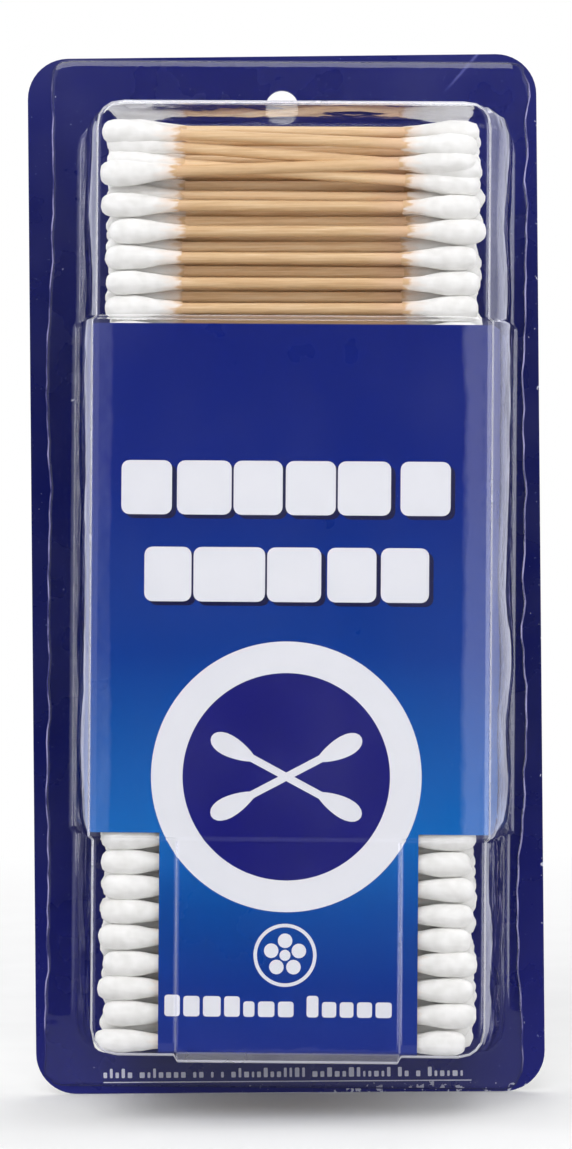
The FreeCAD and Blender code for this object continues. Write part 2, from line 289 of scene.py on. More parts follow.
def woodMaterial(name, dark, middle, pale):
    made, tree, shader, at = newMaterial(name)
    seed = addNode(tree, "ShaderNodeAttribute", attribute_name="swabSeed").outputs["Fac"]
    shift = addNode(tree, "ShaderNodeCombineXYZ", {0: calc(tree, "MULTIPLY", seed, 0.7)})
    moved = vectorCalc(tree, "ADD", at, shift.outputs[0])
    grain = useGroup(tree, fibres, moved, Across=2600.0, Along=90.0, Detail=5.0)[0]
    streaks = useGroup(tree, fibres, moved, Across=700.0, Along=25.0, Detail=2.0)[0]
    wood = ramp(tree, grain, [(0.25, colour(*dark)), (0.5, colour(*middle)), (0.75, colour(*pale))])
    wood = blendColours(tree, ramp(tree, streaks, [(0.4, 0.0), (0.75, 0.4)]), wood, colour(*dark))
    wood = blendColours(tree, calc(tree, "MULTIPLY", seed, 0.3), wood, colour(*middle))
    # Paler and pinker close to the tips
    aside = calc(tree, "ABSOLUTE", split(tree, at)[0])
    wood = blendColours(tree, remap(tree, aside, 0.017, 0.023, 0.0, 0.5), wood, colour(230, 190, 156))
    fill(tree, shader, {"Base Color": wood, "Roughness": 0.62})
    addBump(tree, shader, grain, 0.0001, 0.5)
    return made


def cottonMaterial():
    made, tree, shader, at = newMaterial("woundCotton")
    along = addNode(tree, "ShaderNodeAttribute", attribute_name="tipAlong").outputs["Fac"]
    fine = useGroup(tree, fibres, at, Across=1100.0, Along=260.0, Detail=1.0)[0]
    lumps = noiseAt(tree, at, 420.0, 1.0)
    cotton = ramp(tree, lumps, [(0.3, colour(232, 231, 227)), (0.65, colour(243, 242, 239))])
    # The cotton thins out at the neck until the wood is bare
    reach = calc(tree, "ADD", along, calc(tree, "MULTIPLY", calc(tree, "SUBTRACT", fine, 0.5), 0.35))
    cotton = blendColours(tree, remap(tree, reach, 0.7, 0.95, 0.0, 0.9), cotton, colour(240, 222, 206))
    cotton = blendColours(tree, remap(tree, reach, 0.9, 0.99), cotton, colour(216, 180, 138))
    fill(tree, shader, {"Base Color": cotton, "Roughness": 0.9, "Sheen Weight": 0.1})
    addBump(tree, shader, calc(tree, "ADD", fine, lumps), 0.00025, 0.35)
    return made


# Lets shadow rays pass, so that the lamps light what lies behind the film
def clearInShadow(tree, shader, tint):
    rays = addNode(tree, "ShaderNodeLightPath")
    through = addNode(tree, "ShaderNodeBsdfTransparent", {0: tint})
    shares = {0: rays.outputs["Is Shadow Ray"], 1: shader.outputs[0], 2: through.outputs[0]}
    mixed = addNode(tree, "ShaderNodeMixShader", shares)
    tree.links.new(mixed.outputs[0], tree.nodes["Material Output"].inputs[0])


filmIndex = 1.54


def filmMaterial():
    made, tree, shader, at = newMaterial("clearFilm")
    clear = {"Base Color": (0.99, 0.99, 1.0, 1), "Roughness": 0.02, "IOR": filmIndex, "Transmission Weight": 1.0}
    fill(tree, shader, clear)
    addBump(tree, shader, noiseAt(tree, at, 70.0, 3.0), 0.0004, 0.35)
    clearInShadow(tree, shader, (0.98, 0.98, 0.99, 1))
    return made


# Film that is milky where it was bent tight: the less clear, the whiter
def formedEdgeMaterial(name, clear):
    made, tree, shader, at = newMaterial(name)
    haze = noiseAt(tree, at, 90.0, 3.0)
    milky = ramp(tree, haze, [(0.3, colour(232, 232, 246)), (0.7, colour(246, 246, 255))])
    rough = ramp(tree, haze, [(0.35, 0.12), (0.65, 0.3)])
    fill(tree, shader, {"Base Color": milky, "Roughness": rough, "IOR": filmIndex, "Transmission Weight": clear})
    clearInShadow(tree, shader, (0.9, 0.9, 0.92, 1))
    return made


def filmEdgeMaterial():
    made, tree, shader, at = newMaterial("cutFilmEdge")
    # The clear cut edge is painted: pale lavender patches are painted highlights over the card's navy painted
    # onto the edge
    glintPatches = noiseAt(tree, at, 160.0, 5.0)
    milky = ramp(tree, glintPatches, [(0.4, colour(44, 44, 110)), (0.62, colour(150, 146, 196))])
    # Painted shade: darker along the top and the bottom edge
    ends = calc(tree, "ABSOLUTE", calc(tree, "ADD", split(tree, at)[2], 0.0993))
    edge = blendColours(tree, remap(tree, ends, 0.1, 0.106), milky, colour(34, 36, 92))
    fill(tree, shader, {"Base Color": edge, "Roughness": ramp(tree, glintPatches, [(0.3, 0.15), (0.7, 0.4)])})
    return made


# Mesh helpers


def newMesh(name, points, faces):
    mesh = bpy.data.meshes.new(name)
    mesh.from_pydata([tuple(point) for point in points], [], faces)
    mesh.update()
    return mesh


def addObject(name, data):
    made = bpy.data.objects.new(name, data)
    scene.collection.objects.link(made)
    return made


def modifiedMesh(made):
    bpy.context.view_layer.update()
    return bpy.data.meshes.new_from_object(made.evaluated_get(bpy.context.evaluated_depsgraph_get()))


def turnOutward(mesh):
    work = bmesh.new()
    work.from_mesh(mesh)
    bmesh.ops.recalc_face_normals(work, faces=work.faces)
    work.to_mesh(mesh)
    work.free()


def finishPiece(made, slot, *stoodFor, smooth, material=None):
    mesh = made.data
    if material and not mesh.materials:
        mesh.materials.append(material)
    mesh.polygons.foreach_set("use_smooth", [True] * len(mesh.polygons))
    mesh.set_sharp_from_angle(angle=math.radians(smooth))
    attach(made, "root")
    if stoodFor:
        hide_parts(*stoodFor)


def smoothStep(value):
    value = min(1.0, max(0.0, value))
    return value * value * (3 - 2 * value)


# 1 inside low..high and 0 outside, over a soft edge
def between(value, low, high, width):
    return smoothStep((value - low) / width + 0.5) * smoothStep((high - value) / width + 0.5)


# Grid lines from start to stop, with some more around each extra place
def lines(start, stop, spacing, extra=()):
    count = max(2, round((stop - start) / spacing))
    found = {round(start + (stop - start) * i / count, 3) for i in range(count + 1)}
    for where in extra:
        for aside in (-0.75, -0.45, -0.2, 0.0, 0.2, 0.45, 0.75):
            if start < where + aside < stop:
                found.add(round(where + aside, 3))
    ordered = sorted(found)
    kept = [ordered[0]]
    for value in ordered[1:]:
        if value - kept[-1] > 0.12:
            kept.append(value)
    kept[-1] = stop
    return kept


def wave(x, y, z):
    return noise.noise(Vector((x, y, z)))


# Clear blister: one formed sheet, drawn as a grid over its front face, then rings down its walls to the flange

film = {
    "thickness": 0.35,
    "half": 39.45,
    "top": -4.6,
    "bottom": -195.6,
    "front": 43.90,
    "foot": 0.85,
    "underside": 0.54,
    "sideDraft": 6.05,
    "topDraft": 0.3,
    "bottomDraft": 4.4,
    "bandDraft": 1.5,
    "topRadius": 4.8,
    "bottomRadius": 5.4,
    "edge": 1.0,
    "footRadius": 0.9,
    "bandTop": -48.05,
    "bandBottom": -152.15,
    "bandStep": 0.8,
    "ribHalf": 22.35,
    "ribStep": 0.5,
    "ribDrop": 1.2,
    "stepWidth": 0.9,
    "flange": (-52.5, 49.5, -208.2, 9.8),
    "flangeRadius": 4.0,
    "flangeInset": 0.4,
    "bead": 0.3,
    "beadDrop": 0.16,
    "holeRadius": 3.5,
    "grid": 2.2,
    "wallLevels": 22,
    "flangeLevels": 7,
    "sink": 0.12,
    "crinkle": 0.4,
    "rightBulge": 2.0,
    "shoulder": (1.0, 1.7),
    "margin": ((3.6, 0.55), (5.4, 0.75)),
    "stepSlope": 0.93,
}


def blisterShell():
    f = film
    edge = f["edge"]
    half, top, bottom = f["half"] - edge, f["top"] - edge, f["bottom"] + edge
    across = lines(-half, half, f["grid"], (-f["ribHalf"], f["ribHalf"]))
    up = lines(bottom, top, f["grid"], (f["bandTop"], f["bandBottom"]))
    points, faces = [], []

    def band(z):
        return between(z, f["bandBottom"], f["bandTop"], f["stepWidth"])

    def ribAcross(x):
        return between(x, -f["ribHalf"], f["ribHalf"], f["stepWidth"])

    # How far the front face stands from the card: band, rib, margins that fall away, and a slight sink
    def frontDepth(x, z):
        depth = f["front"] + f["bandStep"] * band(z)
        if f["bandStep"] * band(z) < f["ribStep"]:
            depth += f["ribStep"] * (ribAcross(x) * smoothStep((f["bandBottom"] - z) / f["stepWidth"] + 0.5))
        for side, (wide, drop) in zip((-1, 1), f["margin"]):
            depth -= drop * band(z) * max(0.0, (side * x - (half - wide)) / wide) ** 1.3
        sink = f["sink"] * (wave(x / 25, z / 30, 3.0) - 0.6)
        return depth + min(0.0, sink) * between(x, -half, half, 12)

    def radiusAt(z):
        return (f["topRadius"] if z > (top + bottom) / 2 else f["bottomRadius"]) - edge

    # Corner centre of a grid point, and its step from there once square corners are pulled round
    def squeeze(x, z):
        r = radiusAt(z)
        cx = max(-half + r, min(half - r, x))
        cz = max(bottom + r, min(top - r, z))
        dx, dz = x - cx, z - cz
        if dx and dz:
            size = max(abs(dx), abs(dz)) / math.hypot(dx, dz)
            dx, dz = dx * size, dz * size
        return cx, cz, dx, dz

    grid = []
    for z in up:
        row = []
        for x in across:
            cx, cz, dx, dz = squeeze(x, z)
            row.append(len(points))
            points.append((cx + dx, -frontDepth(cx + dx, cz + dz), cz + dz))
        grid.append(row)
    for low, high in zip(grid, grid[1:]):
        for c in range(len(across) - 1):
            faces.append((low[c], low[c + 1], high[c + 1], high[c]))
    gridFaces = len(faces)

    # The boundary, counter-clockwise seen from the front
    last, wide = len(up) - 1, len(across) - 1
    border = [(0, c) for c in range(wide)] + [(r, wide) for r in range(last)]
    border += [(last, c) for c in range(wide, 0, -1)] + [(r, 0) for r in range(last, 0, -1)]
    spots = []
    for r, c in border:
        cx, cz, dx, dz = squeeze(across[c], up[r])
        size = math.hypot(dx, dz)
        if size < 1e-6:
            dx = {0: -1, wide: 1}.get(c, 0)
            dz = {0: -1, last: 1}.get(r, 0)
            size = math.hypot(dx, dz)
        spots.append((cx, cz, dx / size, dz / size, radiusAt(up[r]), up[r]))

    # The walls spread towards the foot, by the draft of each end and of the band's two steps
    lowCentre, highCentre = bottom + f["bottomRadius"] - edge, top - f["topRadius"] + edge

    def heightAt(z, share):
        anchors = [
            (lowCentre, -f["bottomDraft"] * share),
            (f["bandBottom"], -f["bandDraft"] * share),
            (f["bandTop"], f["bandDraft"] * share),
            (highCentre, f["topDraft"] * share),
        ]
        z = max(lowCentre, min(highCentre, z))
        for (z0, s0), (z1, s1) in zip(anchors, anchors[1:]):
            if z <= z1:
                return z + s0 + (s1 - s0) * (z - z0) / (z1 - z0)
        return z + anchors[-1][1]

    def loop(out, depth, share, crinkle, shoulder=0.0):
        made = []
        for cx, cz, nx, nz, r, gridZ in spots:
            x = cx * (half + f["sideDraft"] * share - r) / (half - r)
            z = heightAt(cz, share)
            side = f["bandStep"] * band(gridZ) * abs(nx)
            low = f["ribDrop"] * ribAcross(cx) if nz < -0.99 else 0
            buckle = 0
            if crinkle:
                swell = wave(z / 16 + 40 * nx, depth / 22, x / 20)
                fine = wave(z / 5 + 9 * nx, depth / 9, 5 + x / 8)
                crumple = 0.3 + 0.5 * smoothStep((f["bandBottom"] + 12 - z) / 10)
                buckle = crinkle * (0.7 * swell + crumple * fine - 0.35)
                if nx > 0.7:
                    buckle += crinkle * f["rightBulge"] * (0.75 + 0.5 * wave(z / 24, 0, 2))
            size = f["shoulder"][0 if nx < 0 else 1] * (1.0 + 0.5 * wave(z / 18, 4 * nx, 1))
            size *= 0.1 + 0.9 * smoothStep((z - f["bandBottom"]) / 4)
            push = out + r + (side + low + buckle + shoulder * size * nx * nx)
            made.append((x + nx * push, z + nz * push))
        return made

    previous = [grid[r][c] for r, c in border]

    def addRing(places, depths):
        nonlocal previous
        ring = list(range(len(points), len(points) + len(places)))
        points.extend((x, -depth, z) for (x, z), depth in zip(places, depths))
        for i in range(len(ring)):
            j = (i + 1) % len(ring)
            faces.append((previous[i], ring[i], ring[j], previous[j]))
        previous = ring

    # The front edge, milky where it is bent tightest
    rim = [frontDepth(cx + nx * r, cz + nz * r) for cx, cz, nx, nz, r, _ in spots]
    edgeLines = []
    belowRib = [len(faces) + i for i, spot in enumerate(spots) if spot[3] < -0.99 and abs(spot[0]) < f["ribHalf"]]
    for step in range(1, 5):
        edgeLines += [
            len(faces) + i for i, spot in enumerate(spots) if step > 2 or (step > 1 and spot[3] < -0.5)
        ]
        angle = math.radians(22.5 * step)
        addRing(loop(edge * math.sin(angle), 0, 0, 0), [d - edge * (1 - math.cos(angle)) for d in rim])
    # The walls
    foot = f["foot"] + f["footRadius"]
    for step in range(1, f["wallLevels"] + 1):
        share = step / f["wallLevels"]
        bell = math.sin(math.pi * min(1, share * 1.02)) ** 0.5 if share < 0.98 else 0
        depths = [d - edge - (d - edge - foot) * share for d in rim]
        shoulder = math.sin(math.pi * min(1.0, share) ** 0.55)
        addRing(loop(edge, depths[0], share * 0.98, f["crinkle"] * bell, shoulder), depths)
    # The turn at the foot
    for step in range(1, 4):
        angle = math.radians(30 * step)
        depth = f["foot"] + f["footRadius"] * (1 - math.sin(angle))
        ring = loop(edge + f["footRadius"] * (1 - math.cos(angle)), 0, 1, 0)
        addRing(ring, [depth] * len(spots))
    # The flange, with a bead along its wavy cut edge
    bead = f["bead"]
    inner = loop(edge + f["footRadius"], 0, 1, 0)
    left, right, low, high = f["flange"]
    corner = f["flangeRadius"]
    outer = []
    for cx, cz, nx, nz, r, _ in spots:
        ox = (left + right) / 2 + cx / (half - r) * ((right - left) / 2 - corner)
        share = (min(highCentre, max(lowCentre, cz)) - lowCentre) / (highCentre - lowCentre)
        oz = low + corner + share * (high - low - 2 * corner)
        waver = 0.0
        if abs(nx) > 0.7:
            waver = 1.3 * wave(oz / 38, 7.0 * nx, 0) + 0.7 * wave(oz / 6, 3 * nx, 9)
        outer.append((ox + nx * (corner + waver - f["flangeInset"] - bead), oz + nz * (corner - bead)))
    for step in range(1, f["flangeLevels"] + 1):
        share = step / f["flangeLevels"]
        ring = [(a[0] + (b[0] - a[0]) * share, a[1] + (b[1] - a[1]) * share) for a, b in zip(inner, outer)]
        addRing(ring, [f["foot"]] * len(spots))
    firstBeadFace = len(faces)
    cut = [(x + spot[2] * bead, z + spot[3] * bead) for (x, z), spot in zip(outer, spots)]
    addRing(cut, [f["foot"] - f["beadDrop"]] * len(spots))

    mesh = newMesh("blister_film", [tuple(v * mm for v in p) for p in points], faces)
    for chosen, look in ((range(firstBeadFace, len(faces)), 1), (edgeLines, 2), (belowRib, 3)):
        for i in chosen:
            mesh.polygons[i].material_index = look
    for face in mesh.polygons[:gridFaces]:
        if abs(face.normal.y) < f["stepSlope"] and abs(face.normal.z) < 0.1:
            face.material_index = 3
    thickenFilm(mesh, previous)
    for name in ("film", "filmEdge", "formedEdge", "formedRib"):
        mesh.materials.append(looks[name])
    made = addObject("blister_film", mesh)
    cutHangHole(made)
    made.data.transform(toPack)
    finishPiece(made, "film", "blister", smooth=35)


# Inner side and rim of the sheet
def thickenFilm(mesh, rimLoop):
    work = bmesh.new()
    work.from_mesh(mesh)
    bmesh.ops.recalc_face_normals(work, faces=work.faces)
    work.normal_update()
    work.verts.ensure_lookup_table()
    normals = [v.normal.copy() for v in work.verts]
    outerVerts = list(work.verts)
    innerVerts = []
    for v, n in zip(outerVerts, normals):
        facing = sum(abs(n.dot(face.normal)) for face in v.link_faces) / max(1, len(v.link_faces))
        shifted = v.co - n * (film["thickness"] * mm) / max(0.6, min(1.0, facing))
        if v.co.y > -film["foot"] * mm - 1e-4:
            shifted = Vector((v.co.x, -film["underside"] * mm, v.co.z))
        innerVerts.append(work.verts.new(shifted))
    index = {v: i for i, v in enumerate(outerVerts)}
    for face in list(work.faces):
        work.faces.new([innerVerts[index[v]] for v in reversed(face.verts)])
    for i, a in enumerate(rimLoop):
        b = rimLoop[(i + 1) % len(rimLoop)]
        rimFace = work.faces.new([outerVerts[a], innerVerts[a], innerVerts[b], outerVerts[b]])
        rimFace.material_index = 1
    bmesh.ops.recalc_face_normals(work, faces=work.faces)
    work.to_mesh(mesh)
    work.free()


def cutHangHole(made):
    radius = film["holeRadius"] * mm
    placed = toPack.inverted() @ Matrix.Rotation(math.radians(90), 4, "X")
    mesh = bpy.data.meshes.new("holeCutter")
    work = bmesh.new()
    bmesh.ops.create_cone(
        work, cap_ends=True, segments=64, radius1=radius, radius2=radius, depth=4 * mm, matrix=placed
    )
    work.to_mesh(mesh)
    work.free()
    cutter = addObject("holeCutter", mesh)
    hole = made.modifiers.new("hole", "BOOLEAN")
    hole.object = cutter
    hole.operation = "DIFFERENCE"
    hole.solver = "EXACT"
    final = modifiedMesh(made)
    made.modifiers.clear()
    made.data = final
    bpy.data.objects.remove(cutter)
    final.name = "blister_film"


# Printed insert: a front panel with two wings folded back, and a tongue folded under the stack

insert = {
    "thickness": 0.4,
    "front": 43.45,
    "half": 39.93,
    "wingHalf": 45.3,
    "wingDepth": 4.5,
    "top": -49.25,
    "bottom": -150.95,
    "tongue": 25.85,
    "tongueEnd": -195.15,
    "flapDrop": 1.35,
    "flap": 14.0,
    "bend": 1.0,
    "bow": 0.12,
}


# How far the panel's face stands proud of flat, for the print on it too
def panelBow(x, z):
    calm = between(x, -insert["half"] + 3, insert["half"] - 3, 6)
    return insert["bow"] * calm * wave(x / 22, z / 26, 11.0)


def foldedSheet():
    s = insert
    bend = s["bend"]
    lean = math.atan2(s["wingHalf"] - s["half"], s["front"] - s["wingDepth"])
    turn = math.pi / 2 - lean
    # Right half of the section: distance along X and depth
    flat = s["half"] - bend * math.tan(turn / 2)
    profile = [(x, s["front"]) for x in lines(0, flat, 2.4)]
    for step in range(1, 7):
        angle = turn * step / 6
        profile.append((flat + bend * math.sin(angle), s["front"] - bend + bend * math.cos(angle)))
    start = profile[-1]
    for step in range(1, 15):
        share = step / 14
        reach = (s["wingHalf"] - start[0]) * share, (s["wingDepth"] - start[1]) * share
        profile.append((start[0] + reach[0], start[1] + reach[1]))
    # Put a column at the tongue's edge
    near = [i for i, (x, d) in enumerate(profile) if abs(x - s["tongue"]) < 1.3 and d == s["front"]]
    edgeColumn = near[0]
    profile[edgeColumn] = (s["tongue"], s["front"])
    section = [(-x, d) for x, d in reversed(profile[1:])] + profile
    middle = len(profile) - 1
    points, faces = [], []

    def addRow(columns, z, depthAt):
        row = []
        for c in columns:
            x, d = section[c][0], depthAt(c)
            row.append(len(points))
            lift = panelBow(x, z) if d == s["front"] else 0
            points.append(Vector((x, -(d + lift), z)) * mm)
        return row

    everyColumn = range(len(section))
    rows = [addRow(everyColumn, z, lambda c: section[c][1]) for z in lines(s["bottom"], s["top"], 2.5)]
    for low, high in zip(rows, rows[1:]):
        for c in range(len(section) - 1):
            faces.append((low[c], low[c + 1], high[c + 1], high[c]))
    # Tongue and its flap, as depths and heights down the middle of the sheet
    path = [(s["front"], z) for z in reversed(lines(s["tongueEnd"] + bend, s["bottom"], 2.4)[:-1])]
    for step in range(1, 7):
        angle = math.radians(90 * step / 6)
        path.append((s["front"] - bend * (1 - math.cos(angle)), s["tongueEnd"] + bend * (1 - math.sin(angle))))
    for step in range(1, 8):
        share = step / 7
        path.append((s["front"] - bend - (s["flap"] - bend) * share, s["tongueEnd"] - s["flapDrop"] * share))
    columns = range(middle - edgeColumn, middle + edgeColumn + 1)
    previous = [rows[0][c] for c in columns]
    for depth, z in path:
        row = addRow(columns, z, lambda c: depth)
        for i in range(len(row) - 1):
            faces.append((row[i], row[i + 1], previous[i + 1], previous[i]))
        previous = row
    mesh = newMesh("insert_sheet", points, faces)
    made = addObject("insert_sheet", mesh)
    mesh.materials.append(looks["insert"])
    mesh.materials.append(looks["board"])
    shell = made.modifiers.new("board", "SOLIDIFY")
    shell.thickness = s["thickness"] * mm
    shell.offset = -1
    shell.use_even_offset = True
    shell.material_offset = 1
    shell.material_offset_rim = 1
    final = modifiedMesh(made)
    made.modifiers.clear()
    made.data = final
    final.name = "insert_sheet"
    final.transform(toPack)
    finishPiece(made, "insert", "front_insert", smooth=50)


# Print: thin raised ink shapes. Places are on the insert, where 1 px of the photograph is about 0.2 mm.
# The rows hold the middle, the height and each block's left and right edge.

artwork = {
    "inkThickness": 0.02,
    "cardFront": 0.5,
    "lowLift": 0.005,
    "lift": 0.03,
    "topLift": 0.065,
    "rows": [
        (-82.0, 10.8, [(-33.9, -23.8), (-22.8, -11.9), (-11.5, -1.7), (-1.1, 8.9), (9.3, 19.9), (21.8, 31.8)]),
        (-99.3, 10.9, [(-29.2, -19.8), (-19.4, -5.1), (-4.7, 6.1), (7.3, 17.1), (18.0, 27.6)]),
    ],
    "blockRadius": 1.6,
    "shadowShift": (0.9, -0.8),
    "badge": (-0.6, -139.6),
    "ringRadii": (20.7, 27.0),
    "swabs": {"length": 24.0, "turn": 28, "bar": 1.5, "head": 2.6},
    "emblem": (-0.6, -175.2),
    "emblemRing": (5.6, 6.3),
    "petals": {"count": 5, "away": 2.9, "radius": 1.45, "heart": 1.1},
    "smallRow": (-24.6, 22.6, -185.4, 4.3),
    "smallWidths": (2.2, 3.6),
    "cardRow": (-39.7, 38.4, -204.9, 2.0),
    "cardWidths": (0.5, 1.1),
    "ruleHeight": -206.9,
    "ruleThickness": 0.22,
}


# Each outline is a list of rings from its middle outwards, "closed" where the middle is open
def inkShapes(name, outlines, lift, material, onCard=False):
    points, faces = [], []
    thick = artwork["inkThickness"]

    def put(x, z, proud):
        surface = artwork["cardFront"] if onCard else insert["front"] + panelBow(x, z)
        points.append(Vector((x, -(surface + proud), z)) * mm)
        return len(points) - 1

    for outline in outlines:
        rings = outline["rings"]
        closed = outline.get("closed", False)
        base = lift + outline.get("raised", 0.0)
        front = [[put(x, z, base + thick) for x, z in ring] for ring in rings]
        back = [[put(x, z, base) for x, z in ring] for ring in rings]
        count = len(rings[0])
        pairs = [(i, (i + 1) % count) for i in range(count)]
        for a in range(len(rings) - 1):
            for i, j in pairs:
                faces.append((front[a][i], front[a][j], front[a + 1][j], front[a + 1][i]))
                faces.append((back[a][j], back[a][i], back[a + 1][i], back[a + 1][j]))
        for i, j in pairs:
            faces.append((front[-1][i], front[-1][j], back[-1][j], back[-1][i]))
            if closed:
                faces.append((front[0][j], front[0][i], back[0][i], back[0][j]))
        if not closed:
            x = sum(p[0] for p in rings[0]) / count
            z = sum(p[1] for p in rings[0]) / count
            f, b = put(x, z, base + thick), put(x, z, base)
            for i, j in pairs:
                faces.append((f, front[0][j], front[0][i]))
                faces.append((b, back[0][i], back[0][j]))
    mesh = newMesh(name, points, faces)
    if not onCard:
        mesh.transform(toPack)
    turnOutward(mesh)
    finishPiece(addObject(name, mesh), "card" if onCard else "insert", smooth=30, material=material)


def circleRing(x, z, radius, count=96):
    angles = [2 * math.pi * i / count for i in range(count)]
    return [(x + radius * math.cos(angle), z + radius * math.sin(angle)) for angle in angles]


# Rings from a small middle to the rounded outline
def roundedBlock(left, right, low, high, radius):
    corners = (
        (right - radius, high - radius, 0),
        (left + radius, high - radius, 90),
        (left + radius, low + radius, 180),
        (right - radius, low + radius, 270),
    )
    outline = []
    for cx, cz, start in corners:
        for step in range(5):
            angle = math.radians(start + 22.5 * step)
            outline.append((cx + radius * math.cos(angle), cz + radius * math.sin(angle)))
    mx, mz = (left + right) / 2, (low + high) / 2
    inner = [(mx + (x - mx) * 0.5, mz + (z - mz) * 0.5) for x, z in outline]
    return {"rings": [inner, outline]}


def headline():
    blocks, shadows = [], []
    radius = artwork["blockRadius"]
    aside, down = artwork["shadowShift"]
    for middle, height, spans in artwork["rows"]:
        for left, right in spans:
            low, high = middle - height / 2, middle + height / 2
            blocks.append(roundedBlock(left, right, low, high, radius))
            shadows.append(roundedBlock(left + aside, right + aside, low + down, high + down, radius))
    inkShapes("headline_shadow", shadows, artwork["lowLift"], looks["inkShadow"])
    inkShapes("headline_blocks", blocks, artwork["lift"], looks["inkWhite"])


def roundBadge():
    x, z = artwork["badge"]
    inner, outer = artwork["ringRadii"]
    rings = [circleRing(x, z, inner + (outer - inner) * s / 2, 128) for s in range(3)]
    inkShapes("badge_ring", [{"rings": rings, "closed": True}], artwork["lift"], looks["inkWhite"])
    disc = [circleRing(x, z, inner * s / 5, 64) for s in range(1, 6)]
    inkShapes("badge_disc", [{"rings": disc}], artwork["lowLift"], looks["inkNavy"])


# A rod with a drop at each end
def swabShape(x, z, turn):
    p = artwork["swabs"]
    length, bar, head = p["length"], p["bar"], p["head"]
    c, d = math.cos(math.radians(turn)), math.sin(math.radians(turn))

    def put(points):
        return [(x + c * u - d * v, z + d * u + c * v) for u, v in points]

    reach = length / 2 - head * 1.3
    rod = [(-reach, -bar / 2), (reach, -bar / 2), (reach, bar / 2), (-reach, bar / 2)]
    shapes = [{"rings": [put(rod)]}]
    for side in (-1, 1):
        end = []
        for step in range(24):
            angle = 2 * math.pi * step / 24
            fat = head * (1.0 + 0.35 * math.cos(angle))
            end.append((side * (length / 2 + head * 1.9 * math.cos(angle)), fat * 0.78 * math.sin(angle)))
        shapes.append({"rings": [put(end)], "raised": 0.01})
    return shapes


def pictogram():
    turn = artwork["swabs"]["turn"]
    for angle, name, lift in ((turn, "badge_swab_rising", "lift"), (-turn, "badge_swab_falling", "topLift")):
        inkShapes(name, swabShape(*artwork["badge"], angle), artwork[lift], looks["inkWhite"])


def emblem():
    x, z = artwork["emblem"]
    p = artwork["petals"]
    shapes = [{"rings": [circleRing(x, z, radius, 72) for radius in artwork["emblemRing"]], "closed": True}]
    for turn in range(p["count"]):
        angle = math.radians(90 + 360 / p["count"] * turn)
        petal = circleRing(x + p["away"] * math.cos(angle), z + p["away"] * math.sin(angle), p["radius"], 28)
        shapes.append({"rings": [petal]})
    shapes.append({"rings": [circleRing(x, z, p["heart"], 20)]})
    inkShapes("emblem_flower", shapes, artwork["lift"], looks["inkWhite"])


# Small blocks in two groups under the emblem
def smallRow():
    random.seed(5)
    left, right, middle, height = artwork["smallRow"]
    low = middle - height / 2
    blocks, x, count = [], left, 0
    while x < right - 1.5:
        wide = random.uniform(*artwork["smallWidths"])
        tall = height if count in (0, 7) else height * random.choice((0.72, 0.72, 0.95))
        blocks.append(roundedBlock(x, min(right, x + wide), low, low + tall, 0.6))
        x += wide + (2.6 if count == 6 else 0.7)
        count += 1
    inkShapes("small_blocks", blocks, artwork["lift"], looks["inkWhite"])


# A thin rule under a row of little dashes, along the bottom of the card
def cardRule():
    random.seed(9)
    left, right, middle, height = artwork["cardRow"]
    low = middle - height / 2
    marks, x = [], left
    while x < right - 0.8:
        wide = random.uniform(*artwork["cardWidths"])
        tall = height * random.choice((0.6, 0.6, 1.0))
        marks.append(roundedBlock(x, min(right, x + wide), low, low + tall, 0.2))
        x += wide + random.choice((0.6, 0.6, 0.6, 1.6))
    low = artwork["ruleHeight"]
    high = low + artwork["ruleThickness"]
    steps = [left + (right - left) * i / 12 for i in range(13)]
    marks += [{"rings": [[(a, low), (b, low), (b, high), (a, high)]]} for a, b in zip(steps, steps[1:])]
    inkShapes("card_rule", marks, artwork["lowLift"], looks["inkCard"], onCard=True)


# Swabs: instances on a stack of places, in rows that alternate from layer to layer

swabs = {
    "layers": 11,
    "rows": 37,
    "lastRows": 35,
    "rowPitch": 5.05,
    "layerPitch": 3.785,
    "lowest": -192.40,
    "backLayer": 2.85,
    "length": 75.5,
    "stick": 2.25,
    "stickShorter": 6.0,
    "tip": 5.2,
    "tipLength": 15.5,
    "slide": 0.55,
    "tilt": 0.35,
    "seed": 11,
}
# Swabs out of line: (layer from the front, row from the top), then tilt in degrees, lift, slide, push to the back
askew = {
    (0, 0): (2.2, -1.5, -0.3, 0.0),
    (0, 1): (4.1, 0.3, 0.6, 0.9),
    (0, 2): (-2.2, 3.0, -1.0, 0.0),
    (0, 3): (0.1, 0.3, -0.5, 0.2),
    (0, 4): (-0.3, 0.3, 0.5, 0.0),
    (0, 36): (0.0, -0.55, -1.2, 0.0),
    (1, 1): (3.7, -5.5, 0.6, -2.7),
    (2, 0): (0.0, 1.0, 0.0, 0.0),
    (8, 0): (0.2, 3.0, -0.4, 0.0),
}


# Points with a "turn" attribute. Every layer is drawn at random each time, so that each keeps its places.
def placesObject(name, layers):
    random.seed(swabs["seed"])
    places, turns = [], []
    for layer in range(swabs["layers"]):
        odd = layer % 2
        count = swabs["lastRows"] if layer == swabs["layers"] - 1 else swabs["rows"] - odd
        for row in range(count):
            depth = swabs["backLayer"] + (swabs["layers"] - 1 - layer) * swabs["layerPitch"]
            z = swabs["lowest"] + (row + odd / 2) * swabs["rowPitch"]
            slide = random.uniform(-1, 1) * swabs["slide"]
            tilt = random.uniform(-1, 1) * swabs["tilt"]
            yaw = random.uniform(-1, 1) * swabs["tilt"] * 0.4
            here = (layer, swabs["rows"] - 1 - row)
            if here in askew:
                tilt, lift, slide, push = askew[here]
                z += lift
                depth -= push
            if layer in layers:
                places.append((slide * mm, -depth * mm, z * mm))
                turns += (0.0, math.radians(tilt), math.radians(yaw))
    mesh = newMesh(name, places, [])
    mesh.attributes.new("turn", "FLOAT_VECTOR", "POINT").data.foreach_set("vector", turns)
    return addObject(name, mesh)


